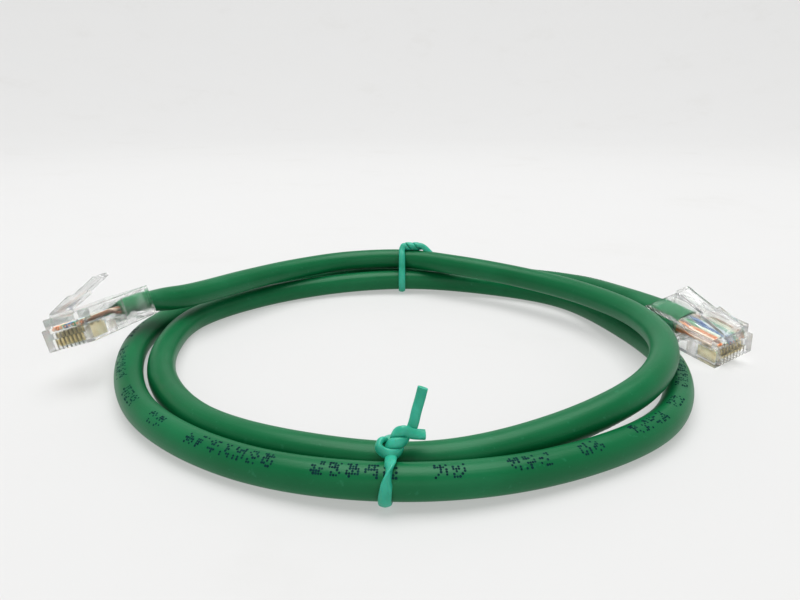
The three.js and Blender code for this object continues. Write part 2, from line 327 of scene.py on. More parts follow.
def sweep(name, rings, along):
    """A skin over rings of equally many points, closed at its ends, with u in metres along and v
    from 0 to 1 round."""
    sides = len(rings[0])
    last = len(rings) - 1
    points = [p for ring in rings for p in ring]
    faces = []
    uvs = []
    for i in range(last):
        here = i * sides
        ahead = here + sides
        u0 = along[i] * MM
        u1 = along[i + 1] * MM
        for k in range(sides):
            m = (k + 1) % sides
            faces.append((here + k, here + m, ahead + m, ahead + k))
            v0 = k / sides
            v1 = (k + 1) / sides
            uvs += [(u0, v0), (u0, v1), (u1, v1), (u1, v0)]
    faces.append(tuple(reversed(range(sides))))
    uvs += [(along[0] * MM, 0.5)] * sides
    faces.append(tuple(last * sides + k for k in range(sides)))
    uvs += [(along[-1] * MM, 0.5)] * sides
    return mesh_from(name, points, faces, uvs)


def stadium(width, height, sides):
    """(side, up) points round a flat-sided oval; a circle where width and height are the same."""
    steepness = 3                # the points cross the flats while the cosine is under a third
    radius = height / 2
    flat = width / 2 - radius
    out = []
    for k in range(sides):
        angle = 2 * math.pi * k / sides
        shift = flat * max(-1.0, min(1.0, steepness * math.cos(angle)))
        out.append((shift + radius * math.cos(angle), radius * math.sin(angle)))
    return out


# ---------------------------------------------------------------- shader nodes

def new_material(name, roughness, **settings):
    """A node material with its Principled shader, on which the settings are put."""
    material = bpy.data.materials.new(name)
    material.use_nodes = True
    tree = material.node_tree
    shader = tree.nodes["Principled BSDF"]
    shader.inputs["Roughness"].default_value = roughness
    for key, value in settings.items():
        shader.inputs[key.replace("_", " ")].default_value = value
    return material, tree, shader


def node(tree, kind, **settings):
    """A node with those settings, each one a property of the node or the value of an input."""
    made = tree.nodes.new(kind)
    for key, value in settings.items():
        if hasattr(made, key):
            setattr(made, key, value)
        else:
            made.inputs[key.replace("_", " ")].default_value = value
    return made


def noise(tree, vector, scale, detail, roughness=0.55):
    made = node(tree, "ShaderNodeTexNoise", Scale=scale, Detail=detail, Roughness=roughness)
    tree.links.new(vector, made.inputs["Vector"])
    return made.outputs["Fac"]


def ramp(tree, factor, stops):
    """A colour ramp; stops are (position, colour) pairs."""
    made = tree.nodes.new("ShaderNodeValToRGB")
    elements = made.color_ramp.elements
    while len(elements) < len(stops):
        elements.new(0.5)
    for element, (position, colour) in zip(elements, stops):
        element.position = position
        element.color = (*colour, 1.0)
    tree.links.new(factor, made.inputs["Fac"])
    return made.outputs["Color"]


def mix_colours(tree, factor, first, second):
    """The first colour, an output, giving way to the second, an RGB value, by the factor."""
    made = node(tree, "ShaderNodeMix", data_type="RGBA")
    made.inputs["B"].default_value = (*second, 1.0)
    tree.links.new(factor, made.inputs["Factor"])
    tree.links.new(first, made.inputs["A"])
    return made.outputs["Result"]


def math_node(tree, operation, a, b=None):
    made = node(tree, "ShaderNodeMath", operation=operation)
    for socket, value in zip(made.inputs, (a, b)):
        if value is None:
            continue
        if isinstance(value, (int, float)):
            socket.default_value = value
        else:
            tree.links.new(value, socket)
    return made.outputs["Value"]


def colour_from(tree, shader, colour):
    tree.links.new(colour, shader.inputs["Base Color"])


def roughness_from(tree, shader, factor, low, high):
    made = tree.nodes.new("ShaderNodeMapRange")
    made.inputs["To Min"].default_value = low
    made.inputs["To Max"].default_value = high
    tree.links.new(factor, made.inputs["Value"])
    tree.links.new(made.outputs["Result"], shader.inputs["Roughness"])


def bump(tree, shader, height, distance, strength):
    made = node(tree, "ShaderNodeBump", Strength=strength, Distance=distance)
    tree.links.new(height, made.inputs["Height"])
    tree.links.new(made.outputs["Normal"], shader.inputs["Normal"])


def object_vector(tree):
    return tree.nodes.new("ShaderNodeTexCoord").outputs["Object"]


def sweep_uv(tree):
    return node(tree, "ShaderNodeUVMap", uv_map="along_and_round").outputs["UV"]


def stretched_uv(tree, along, around):
    """The sweep's own coordinates, scaled along and round the piece."""
    scaled = tree.nodes.new("ShaderNodeMapping")
    scaled.inputs["Scale"].default_value = (along, around, 1.0)
    tree.links.new(sweep_uv(tree), scaled.inputs["Vector"])
    return scaled.outputs["Vector"]


# ---------------------------------------------------------------- materials

def jacket_material():
    """Matt green PVC: faint clouding, dust and fine drawing lines along the cable."""
    material, tree, shader = new_material("pvc_jacket", 0.45, Specular_IOR_Level=0.33)
    place = object_vector(tree)
    clouds = noise(tree, place, 60.0, 3.0)
    green = ramp(tree, clouds, [
        (0.30, (0.0012, 0.124, 0.042)),
        (0.55, (0.0020, 0.142, 0.050)),
        (0.75, (0.0045, 0.162, 0.061)),
    ])
    dust = ramp(tree, noise(tree, place, 900.0, 2.0), [
        (0.66, (0.0, 0.0, 0.0)),
        (0.74, (1.0, 1.0, 1.0)),
    ])
    faint = math_node(tree, "MULTIPLY", dust, 0.35)
    colour_from(tree, shader, mix_colours(tree, faint, green, (0.03, 0.22, 0.11)))
    roughness_from(tree, shader, clouds, 0.32, 0.44)
    lines = noise(tree, stretched_uv(tree, 40.0, 34.0), 1.0, 2.0)
    grain = noise(tree, place, 2600.0, 3.0)
    relief = math_node(tree, "ADD", lines, math_node(tree, "MULTIPLY", grain, 0.6))
    bump(tree, shader, relief, 0.00005, 0.5)
    return material


def ink_material():
    """Dark ink with worn, uneven cover."""
    material, tree, shader = new_material("print_ink", 0.7, Specular_IOR_Level=0.1)
    wear = noise(tree, object_vector(tree), 1500.0, 2.0)
    colour_from(tree, shader, ramp(tree, wear, [
        (0.35, (0.003, 0.022, 0.032)),
        (0.75, (0.007, 0.062, 0.056)),
    ]))
    return material


def clear_material():
    """Clear moulded plastic with faint flow marks; light reaches what is inside it."""
    material, tree, shader = new_material(
        "clear_polycarbonate", 0.04, IOR=1.33, Transmission_Weight=1.0, Alpha=0.8,
    )
    place = object_vector(tree)
    flow = noise(tree, place, 260.0, 2.0)
    colour_from(tree, shader, ramp(tree, flow, [
        (0.3, (0.955, 0.965, 0.950)),
        (0.7, (0.985, 0.990, 0.985)),
    ]))
    roughness_from(tree, shader, flow, 0.02, 0.07)
    bump(tree, shader, noise(tree, place, 420.0, 2.0), 0.00004, 0.3)
    output = tree.nodes["Material Output"]
    path = tree.nodes.new("ShaderNodeLightPath")
    through = tree.nodes.new("ShaderNodeBsdfTransparent")
    through.inputs["Color"].default_value = (0.97, 0.98, 0.97, 1.0)
    mix = tree.nodes.new("ShaderNodeMixShader")
    tree.links.new(path.outputs["Is Shadow Ray"], mix.inputs["Fac"])
    tree.links.new(shader.outputs["BSDF"], mix.inputs[1])
    tree.links.new(through.outputs["BSDF"], mix.inputs[2])
    tree.links.new(mix.outputs["Shader"], output.inputs["Surface"])
    return material


def gold_material():
    """Gold-plated contact spring with fine rolling marks and slightly dull spots."""
    material, tree, shader = new_material("gold_contact", 0.35, Metallic=0.9)
    place = object_vector(tree)
    dull = noise(tree, place, 900.0, 3.0)
    colour_from(tree, shader, ramp(tree, dull, [
        (0.35, (0.86, 0.74, 0.46)),
        (0.7, (0.96, 0.88, 0.64)),
    ]))
    roughness_from(tree, shader, dull, 0.28, 0.48)
    bump(tree, shader, noise(tree, place, 5000.0, 2.0), 0.00001, 0.4)
    return material


def copper_material():
    """Bare copper core of a wire, where it is cut."""
    material, tree, shader = new_material("copper_core", 0.35, Metallic=1.0)
    dull = noise(tree, object_vector(tree), 3000.0, 2.0)
    colour_from(tree, shader, ramp(tree, dull, [
        (0.3, (0.70, 0.30, 0.16)),
        (0.7, (0.88, 0.45, 0.27)),
    ]))
    return material


def wire_material(name, colour, stripe):
    """Wire insulation; the white ones carry a coloured stripe that winds round them."""
    material, tree, shader = new_material(f"insulation_{name}", 0.38)
    shade = noise(tree, object_vector(tree), 700.0, 2.0)
    plain = ramp(tree, shade, [
        (0.3, tuple(0.88 * c for c in colour)),
        (0.7, tuple(min(1.0, 1.08 * c) for c in colour)),
    ])
    roughness_from(tree, shader, shade, 0.30, 0.46)
    if stripe is None:
        colour_from(tree, shader, plain)
        return material
    split = tree.nodes.new("ShaderNodeSeparateXYZ")
    tree.links.new(sweep_uv(tree), split.inputs["Vector"])
    turns = math_node(tree, "MULTIPLY", split.outputs["X"], STRIPE_TURNS)
    wound = math_node(tree, "FRACT", math_node(tree, "ADD", turns, split.outputs["Y"]))
    band = math_node(tree, "LESS_THAN", wound, STRIPE_SHARE)
    colour_from(tree, shader, mix_colours(tree, band, plain, stripe))
    return material


def tie_material():
    """Soft teal plastic of a twist tie, slightly see-through at its thin edges."""
    material, tree, shader = new_material(
        "twist_tie_plastic", 0.4, Specular_IOR_Level=0.5, Subsurface_Weight=0.25,
        Subsurface_Scale=0.0006,
    )
    clouds = noise(tree, object_vector(tree), 300.0, 3.0)
    colour_from(tree, shader, ramp(tree, clouds, [
        (0.30, (0.016, 0.325, 0.205)),
        (0.70, (0.050, 0.460, 0.330)),
    ]))
    roughness_from(tree, shader, clouds, 0.32, 0.50)
    creases = noise(tree, stretched_uv(tree, 900.0, 6.0), 1.0, 3.0)
    bump(tree, shader, creases, 0.00006, 0.45)
    return material


def floor_material():
    """Pale matt board with faint marks. Its own faint glow keeps the shadows on it pale."""
    material, tree, shader = new_material(
        "pale_board", 0.75, Specular_IOR_Level=0.2, Emission_Color=(1.0, 1.0, 0.99, 1.0),
        Emission_Strength=0.36,
    )
    marks = noise(tree, object_vector(tree), 14.0, 6.0, 0.65)
    colour_from(tree, shader, ramp(tree, marks, [
        (0.30, (0.302, 0.300, 0.296)),
        (0.42, (0.317, 0.316, 0.315)),
        (0.80, (0.321, 0.321, 0.321)),
    ]))
    return material


JACKET = jacket_material()
INK = ink_material()
CLEAR = clear_material()
GOLD = gold_material()
COPPER = copper_material()
TIE = tie_material()
INSULATION = [wire_material(*wire) for wire in WIRES]

# ---------------------------------------------------------------- cable jacket

plug_frames = {name: plug_matrix(place) for name, place in PLUGS.items()}


def plug_point(name, x, y=0.0, z=JACKET_HEIGHT):
    return plug_frames[name] @ Vector((x, y, z))


def cable_line():
    """The whole middle line of the jacket, from its cut end in plug A to its cut end in plug B."""
    inside = (JACKET_START, (JACKET_START + PLUG_LENGTH) / 2, PLUG_LENGTH - 0.5)
    points = [plug_point("a", x) for x in inside]
    points += [Vector(p) + COIL_CENTRE for p in ROUTE]
    points += [plug_point("b", x) for x in reversed(inside)]
    return Line(catmull_rom(points, ROUTE_STEPS))


def outside_plug(s, total):
    """How far the length s is from the rear of the nearer plug; negative inside it."""
    return min(s, total - s) - JACKET_HELD


def cable_up(s, total, tangent):
    """The jacket's upward direction: the plugs' own at the ends and the world's between them."""
    plug = "a" if s < total / 2 else "b"
    share = 1 - smoothstep(outside_plug(s, total), *UPRIGHT_AGAIN)
    own = (plug_frames[plug].to_3x3() @ UP).normalized()
    up = UP.lerp(own, share)
    return (up - up.dot(tangent) * tangent).normalized()


def dent_height(x):
    """Lowest z the jacket keeps above the wedge, by the distance x from the nose."""
    for (x0, z0), (x1, z1) in zip(DENT, DENT[1:]):
        if x0 <= x <= x1:
            return lerp(z0, z1, (x - x0) / (x1 - x0))
    return 0.0


def jacket_ring(line, s, shrink=0.0):
    """The jacket's section at length s: pressed flat in a plug, dented over its wedge, else round."""
    point, tangent = line.at(s)
    up = cable_up(s, line.length, tangent)
    side = tangent.cross(up)
    press = 1 - smoothstep(outside_plug(s, line.length), *ROUND_AGAIN)
    width = lerp(CABLE_DIAMETER, JACKET_END_WIDTH, press) - 2 * shrink
    height = lerp(CABLE_DIAMETER, JACKET_END_HEIGHT, press) - 2 * shrink
    lowest = dent_height(JACKET_START + min(s, line.length - s)) - JACKET_HEIGHT
    ring = []
    for across, rise in stadium(width, height, JACKET_SIDES):
        if rise < lowest:
            hold = 1 - smoothstep(abs(across), WEDGE_WIDTH / 2, WEDGE_WIDTH / 2 + DENT_EDGE)
            rise = lerp(rise, lowest, hold)
        ring.append(point + side * across + up * rise)
    return ring


def ring_stations(total):
    """Lengths at which the jacket has rings, close together in the plugs and just behind them."""
    stations = []
    s = 0.0
    while s < total - 1e-6:
        stations.append(s)
        near = outside_plug(s, total) < 2
        s += JACKET_RING_STEP_IN_PLUG if near else JACKET_RING_STEP
    stations.append(total)
    return stations


def cable_jacket(line):
    """The jacket, with hollow cut ends that the wires come out of."""
    stations = ring_stations(line.length)
    rings = [
        jacket_ring(line, JACKET_RECESS, JACKET_WALL),
        jacket_ring(line, 0.0, JACKET_WALL),
    ]
    rings += [jacket_ring(line, s) for s in stations]
    rings += [
        jacket_ring(line, line.length, JACKET_WALL),
        jacket_ring(line, line.length - JACKET_RECESS, JACKET_WALL),
    ]
    along = [-JACKET_RECESS - JACKET_WALL, -JACKET_WALL] + stations
    along += [line.length + JACKET_WALL, line.length + JACKET_WALL + JACKET_RECESS]
    return add_object("jacket", sweep("jacket", rings, along), JACKET, 50)


cable = cable_line()
jacket = cable_jacket(cable)
cable_path = [cable.at(s)[0] * MM for s in ring_stations(cable.length)]
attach(jacket, "cable")
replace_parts(jacket, "cable_jacket")


# ---------------------------------------------------------------- plugs

def prism(outline, width, middle=0.0, rounding=0.0):
    """A bmesh of an (x, z) outline swept across y, with rounded edges, in plug millimetres."""
    bm = bmesh.new()
    near = [bm.verts.new((x, middle - width / 2, z)) for x, z in outline]
    far = [bm.verts.new((x, middle + width / 2, z)) for x, z in outline]
    bm.faces.new(near)
    bm.faces.new(list(reversed(far)))
    for i in range(len(outline)):
        j = (i + 1) % len(outline)
        bm.faces.new((near[j], near[i], far[i], far[j]))
    bmesh.ops.recalc_face_normals(bm, faces=bm.faces)
    if rounding > 0:
        bmesh.ops.bevel(
            bm, geom=bm.edges[:], offset=rounding, segments=2, profile=0.5,
            affect="EDGES", clamp_overlap=True,
        )
    return bm


def mesh_of(bm, name):
    """A mesh of the bmesh, which is used up."""
    mesh = bpy.data.meshes.new(name)
    bm.to_mesh(mesh)
    bm.free()
    return mesh


def scratch_object(bm):
    return link(bpy.data.objects.new("scratch", mesh_of(bm, "scratch")))


def combine(body, tools):
    """body after each (operation, prism) in turn, as a mesh. The prisms are used up."""
    made = []
    for operation, bm in tools:
        tool = scratch_object(bm)
        tool.hide_render = True
        made.append(tool)
        step = body.modifiers.new("step", "BOOLEAN")
        step.operation = operation
        step.solver = "EXACT"
        step.object = tool
    finished = body.evaluated_get(bpy.context.evaluated_depsgraph_get())
    result = bpy.data.meshes.new_from_object(finished)
    for scratch in made + [body]:
        bpy.data.objects.remove(scratch, do_unlink=True)
    return result


def pin_offset(pin):
    return ((CONTACT_COUNT + 1) / 2 - pin) * CONTACT_PITCH


def housing_mesh():
    floor = RIBBON_HEIGHT - WIRE_DIAMETER / 2 - GAP
    roof = RIBBON_HEIGHT + WIRE_DIAMETER / 2 + GAP
    mouth = PLUG_LENGTH - MOUTH_LENGTH
    body = scratch_object(prism([
        (0, 0), (PLUG_LENGTH, 0), (PLUG_LENGTH, PLUG_HEIGHT), (NOSE_STEP_LENGTH, PLUG_HEIGHT),
        (NOSE_STEP_LENGTH, NOSE_STEP_HEIGHT), (0, NOSE_STEP_HEIGHT),
    ], PLUG_WIDTH, rounding=HOUSING_ROUNDING))
    tools = [
        # the post that the latch grows from
        ("UNION", prism([
            (0.15, NOSE_STEP_HEIGHT - 0.5), (2, NOSE_STEP_HEIGHT - 0.5), (2, PLUG_HEIGHT - 0.05),
            (0.45, PLUG_HEIGHT - 0.05), (0.15, PLUG_HEIGHT - 0.6),
        ], LATCH_ROOT_WIDTH, rounding=POST_ROUNDING)),
        # flat channel for the row of wires, widening towards the jacket
        ("DIFFERENCE", prism([
            (CHANNEL_START, floor), (RIBBON_END, floor), (CAVITY_START + 0.1, 2.2),
            (CAVITY_START + 0.1, CAVITY_ROOF), (RIBBON_END, roof), (CHANNEL_START, roof),
        ], CHANNEL_WIDTH, rounding=CHANNEL_ROUNDING)),
        # jacket cavity, flared at its rear mouth
        ("DIFFERENCE", prism([
            (CAVITY_START, CAVITY_FLOOR), (mouth, CAVITY_FLOOR),
            (PLUG_LENGTH + 0.4, CAVITY_FLOOR - 0.45), (PLUG_LENGTH + 0.4, CAVITY_ROOF + 0.3),
            (mouth, CAVITY_ROOF), (CAVITY_START, CAVITY_ROOF),
        ], CAVITY_WIDTH, rounding=CAVITY_ROUNDING)),
        # pocket of the wire strain relief, open at the contact face
        ("DIFFERENCE", prism([
            (POCKET_START, -1), (POCKET_END, -1), (POCKET_END, 1.4), (POCKET_START, 2.55),
        ], POCKET_WIDTH, rounding=CAVITY_ROUNDING)),
    ]
    # the comb of slots for the contacts, open at the nose and the contact face
    for pin in range(1, CONTACT_COUNT + 1):
        tools.append(("DIFFERENCE", prism([
            (-1, -1), (SLOT_END, -1), (SLOT_END, floor + 0.2), (SLOT_START, floor + 0.2),
            (SLOT_START, 2.4), (-1, 2.4),
        ], SLOT_WIDTH, pin_offset(pin))))
    tools += [
        # the wedge that holds the jacket
        ("UNION", prism([
            (WEDGE_START, CAVITY_FLOOR - 0.3), (WEDGE_END, CAVITY_FLOOR - 0.3),
            (WEDGE_END, CAVITY_FLOOR + 0.01), WEDGE_TIP, (WEDGE_START, 1.5),
        ], WEDGE_WIDTH)),
        # the hollow behind the wedge
        ("DIFFERENCE", prism([
            (16.6, -0.5), (19.8, -0.5), (19.8, 0.2), (16.6, 1.75),
        ], WEDGE_WIDTH - 0.8, rounding=CHANNEL_ROUNDING)),
    ]
    return combine(body, tools)


def rounded_box(half_width, thickness, corner):
    """(side, up) points of a bar's section with rounded corners."""
    half = thickness / 2
    corner = min(corner, half * 0.95)
    out = []
    for quarter, (sx, sy) in enumerate(((1, 1), (-1, 1), (-1, -1), (1, -1))):
        for k in range(4):
            angle = math.radians(90 * quarter + 30 * k)
            out.append((
                sx * (half_width - corner) + corner * math.cos(angle),
                sy * (half - corner) + corner * math.sin(angle),
            ))
    return out


def latch_mesh(matrix):
    """The latch as one bar that bends out of its post, with its two locking shoulders."""
    angle = math.radians(LATCH_REST_ANGLE)
    ahead = Vector((math.cos(angle), 0, math.sin(angle)))
    lift = Vector((-math.sin(angle), 0, math.cos(angle)))
    hinge = Vector((LATCH_HINGE[0], 0, LATCH_HINGE[1]))
    root = LATCH_ROOT_WIDTH / 2
    tab = LATCH_TAB_WIDTH / 2
    # the living hinge, rising out of the post: middle, upper side, half width, thickness
    stations = [
        (Vector((0.62, 0, PLUG_HEIGHT - 0.25)), Vector((-1, 0, 0)), root - 0.05, 0.55),
        (Vector((0.60, 0, PLUG_HEIGHT + 0.05)), Vector((-1, 0, 0)), root - 0.05, 0.50),
        (Vector((0.66, 0, PLUG_HEIGHT + 0.36)), Vector((-0.93, 0, 0.36)), root - 0.05, 0.48),
        (Vector((0.86, 0, PLUG_HEIGHT + 0.62)), Vector((-0.66, 0, 0.75)), root, 0.52),
        (Vector((1.12, 0, PLUG_HEIGHT + 0.74)), lift, root, 0.58),
    ]
    # distance from the hinge, half width, thickness, height of the middle above the bar's line
    bar = [
        # the wide blade, thicker towards the locking shoulders
        (0.5, root, 0.66, 0.0), (1.6, root, 0.80, 0.0), (3.2, root, 0.86, 0.03),
        (4.8, root, 0.95, 0.075), (LATCH_SHOULDER - 0.05, root, 0.95, 0.075),
        (LATCH_SHOULDER, root - 0.1, 0.90, 0.06), (LATCH_SHOULDER + 0.03, tab + 0.25, 0.84, 0.0),
        # the narrow tab
        (LATCH_SHOULDER + 0.3, tab, 0.80, 0.0), (9.0, tab, 0.80, 0.0), (12.0, tab, 0.80, 0.0),
        # its three grip ribs and its end
        (13.6, tab, 0.80, 0.0), (13.8, tab, 0.92, 0.06), (14.0, tab, 0.80, 0.0),
        (14.3, tab, 0.92, 0.06), (14.5, tab, 0.80, 0.0), (14.8, tab, 0.90, 0.05),
        (LATCH_LENGTH - 0.25, tab - 0.05, 0.72, -0.03), (LATCH_LENGTH, tab - 0.3, 0.40, -0.08),
    ]
    for distance, half_width, thickness, rise in bar:
        stations.append((hinge + ahead * distance + lift * rise, lift, half_width, thickness))
    rings = []
    for middle, up, half_width, thickness in stations:
        section = rounded_box(half_width, thickness, LATCH_ROUNDING)
        rings.append([
            matrix @ (middle + Vector((0, across, 0)) + up.normalized() * rise)
            for across, rise in section
        ])
    along = lengths_along([station[0] for station in stations])
    return sweep("latch", rings, along)


def contact_mesh(pin):
    """A flat contact with its piercing teeth under the wire."""
    return mesh_of(prism([
        (0.75, 1.1), (1.35, 0.5), (5.9, 0.5), (5.9, 3.0), (5.2, 3.0), (5.2, 3.45),
        (4.3, 2.9), (3.3, 3.45), (2.4, 2.9), (1.6, 3.45), (1.6, 2.1), (0.75, 2.1),
    ], CONTACT_THICKNESS, pin_offset(pin), rounding=CONTACT_ROUNDING), "contact")


def wire_point(pin, along):
    """The wires of a pair lie above each other at the jacket and side by side at the contacts."""
    side = 1 if pin % 2 == 1 else -1
    pair = (pin + 1) // 2
    fan = smoothstep(along, RIBBON_END - 0.5, JACKET_START - 0.7)
    pitch = lerp(2 * CONTACT_PITCH, PAIR_PITCH_AT_JACKET, fan)
    turn = math.radians(90) * fan
    return Vector((
        along,
        (2.5 - pair) * pitch + side * PAIR_SPACING * math.cos(turn),
        lerp(RIBBON_HEIGHT, JACKET_HEIGHT, fan) + side * PAIR_SPACING * math.sin(turn),
    ))


def wire_mesh(pin, matrix):
    """Insulated wire with its copper core showing at the cut end."""
    end = JACKET_START + JACKET_RECESS - 0.1
    line = [
        wire_point(pin, lerp(WIRE_START, end, k / WIRE_STEPS)) for k in range(WIRE_STEPS + 1)
    ]
    direction = tangents(line)
    radius = WIRE_DIAMETER / 2

    def ring(i, size):
        side = direction[i].cross(UP).normalized()
        up = side.cross(direction[i])
        return [
            matrix @ (line[i] + side * size * math.cos(a) + up * size * math.sin(a))
            for a in (2 * math.pi * k / WIRE_SIDES for k in range(WIRE_SIDES))
        ]

    rings = [ring(0, COPPER_RADIUS), ring(0, radius - WIRE_EDGE)]
    rings += [ring(i, radius) for i in range(len(line))]
    along = [-0.25, -0.05] + lengths_along(line)
    mesh = sweep("wire", rings, along)
    mesh.materials.append(INSULATION[pin - 1])
    mesh.materials.append(COPPER)
    # the sweep's first end cap is its last face but one
    mesh.polygons[len(mesh.polygons) - 2].material_index = 1
    return mesh


def placed(mesh, matrix):
    """The mesh, moved from plug millimetres to part metres."""
    mesh.transform(Matrix.Scale(MM, 4) @ matrix)
    mesh.update()
    return mesh


def even_normals(piece):
    """Normals follow the large faces, so that only the rounded edges shade round."""
    weighted = piece.modifiers.new("even_normals", "WEIGHTED_NORMAL")
    weighted.keep_sharp = True


def plug_shell(prefix, matrix, housing):
    shell = add_object(f"{prefix}_shell", placed(housing.copy(), matrix), CLEAR, 50)
    even_normals(shell)
    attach(shell, "cable")
    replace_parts(shell, f"{prefix}_housing")
    return shell


def plug_latch(prefix, matrix):
    tab = add_object(f"{prefix}_latch_tab", latch_mesh(matrix), CLEAR, 40)
    even_normals(tab)
    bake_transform(tab)
    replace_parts(tab, f"{prefix}_latch")
    return tab


def plug_contact(prefix, matrix, pin):
    blade = add_object(f"{prefix}_blade_{pin}", placed(contact_mesh(pin), matrix), GOLD, 50)
    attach(blade, "cable")
    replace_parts(blade, f"{prefix}_contact_{pin}")
    return blade


def plug_wire(prefix, matrix, pin):
    colour = WIRES[pin - 1][0]
    conductor = add_object(f"{prefix}_conductor_{pin}", wire_mesh(pin, matrix), sharp_angle=50)
    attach(conductor, "cable")
    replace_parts(conductor, f"{prefix}_wire_{pin}_{colour}")
    return conductor


def plug(name, housing):
    """All the pieces of one plug."""
    matrix = plug_frames[name]
    prefix = f"plug_{name}"
    pieces = [plug_shell(prefix, matrix, housing), plug_latch(prefix, matrix)]
    for pin in range(1, CONTACT_COUNT + 1):
        pieces.append(plug_contact(prefix, matrix, pin))
        pieces.append(plug_wire(prefix, matrix, pin))
    return pieces


bare_housing = housing_mesh()
plug_pieces = {name: plug(name, bare_housing) for name in PLUGS}


# ---------------------------------------------------------------- print on the jacket

def ink_angle(s, total):
    """Where the print lies round the cable, in degrees above the horizontal outside."""
    to_end = (total - s) / total
    rise = INK_RISE * smoothstep(to_end, 0.33, 0.40)
    return INK_ANGLE + rise - INK_TURN * smoothstep(to_end, 0.50, 0.60)


def add_dot(points, faces, s, angle, size):
    """A flat dot on the jacket at length s, that angle round it."""
    middle, tangent = cable.at(s)
    up = cable_up(s, cable.length, tangent)
    side = tangent.cross(up)
    outward = middle - COIL_CENTRE
    if side.dot(outward) < 0:
        side = -side
    radius = CABLE_DIAMETER / 2 + INK_LIFT
    spread = INK_DOT_RADIUS * size
    first = len(points)
    for k in range(INK_DOT_SIDES):
        turn = 2 * math.pi * k / INK_DOT_SIDES
        round_by = angle + spread * math.sin(turn) / radius
        points.append(
            middle + tangent * spread * math.cos(turn)
            + (side * math.cos(round_by) + up * math.sin(round_by)) * radius
        )
    faces.append(tuple(range(first, first + INK_DOT_SIDES)))


def print_marks():
    """Worn dot-matrix marks of random dots, in groups, which spell nothing."""
    dice = random.Random(7)
    points = []
    faces = []
    s = INK_MARGIN
    while s < cable.length - INK_MARGIN:
        angle = math.radians(ink_angle(s, cable.length))
        group = dice.randint(2, 7)
        for _ in range(group):
            for column in range(INK_COLUMNS):
                for row in range(INK_ROWS):
                    if dice.random() > INK_DOT_CHANCE:
                        continue
                    here = s + column * INK_DOT_PITCH
                    shift = (row - (INK_ROWS - 1) / 2) * INK_DOT_PITCH / (CABLE_DIAMETER / 2)
                    add_dot(points, faces, here, angle + shift, dice.uniform(0.75, 1.05))
            s += INK_MARK_PITCH
        s += INK_MARK_PITCH * dice.uniform(0.8, 2.6)
    return mesh_from("print_marks", points, faces)


marks = add_object("jacket_print", print_marks(), INK)
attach(marks, "cable")


# ---------------------------------------------------------------- twist ties

def tape_section(squeeze):
    """(side, up) points of a flat tie with a wire down its middle; squeeze 1 rolls it up narrow."""
    width = lerp(TIE_WIDTH, ROLLED_WIDTH * TIE_WIDTH, squeeze)
    thickness = lerp(TIE_THICKNESS, ROLLED_THICKNESS * TIE_THICKNESS, squeeze)
    core_width, core_height = TIE_CORE
    out = []
    for k in range(TIE_SIDES):
        angle = 2 * math.pi * k / TIE_SIDES
        across = width / 2 * math.copysign(abs(math.cos(angle)) ** 0.9, math.cos(angle))
        rise = thickness / 2 * math.copysign(abs(math.sin(angle)) ** 0.85, math.sin(angle))
        if abs(rise) > 1e-6:
            ridge = (1 - squeeze) * core_height * math.exp(-((across / core_width) ** 2))
            rise += math.copysign(ridge, rise)
        out.append((across, rise))
    return out


def tape(name, stations):
    """A tie along (point, normal, squeeze) stations seen from the middle of the coil."""
    line = catmull_rom([Vector(station[0]) + COIL_CENTRE for station in stations], TIE_STEPS)
    last = len(stations) - 1
    rings = []
    for i, (point, tangent) in enumerate(zip(line, tangents(line))):
        before = stations[min(i // TIE_STEPS, last)]
        after = stations[min(i // TIE_STEPS + 1, last)]
        share = (i % TIE_STEPS) / TIE_STEPS
        normal = Vector(before[1]).normalized().lerp(Vector(after[1]).normalized(), share)
        up = (normal - normal.dot(tangent) * tangent).normalized()
        side = tangent.cross(up)
        section = tape_section(lerp(before[2], after[2], share))
        rings.append([point + side * across + up * rise for across, rise in section])
    piece = add_object(name, sweep(name, rings, lengths_along(line)), TIE, 60)
    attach(piece, "cable")
    return piece


def helix(start, end, radius, towards, first_angle, turns, share=1.0, count=10):
    """Stations of a tape wound round that share of the axis from start to end. Angles are in turns,
    0 where the tape faces towards."""
    start = Vector(start)
    axis = Vector(end) - start
    ahead = axis.normalized()
    towards = Vector(towards)
    front = (towards - towards.dot(ahead) * ahead).normalized()
    right = ahead.cross(front)
    out = []
    for k in range(count + 1):
        reach = share * k / count
        angle = 2 * math.pi * (first_angle + turns * reach)
        normal = front * math.cos(angle) + right * math.sin(angle)
        out.append((start + axis * reach + normal * radius, normal, 1.0))
    return out


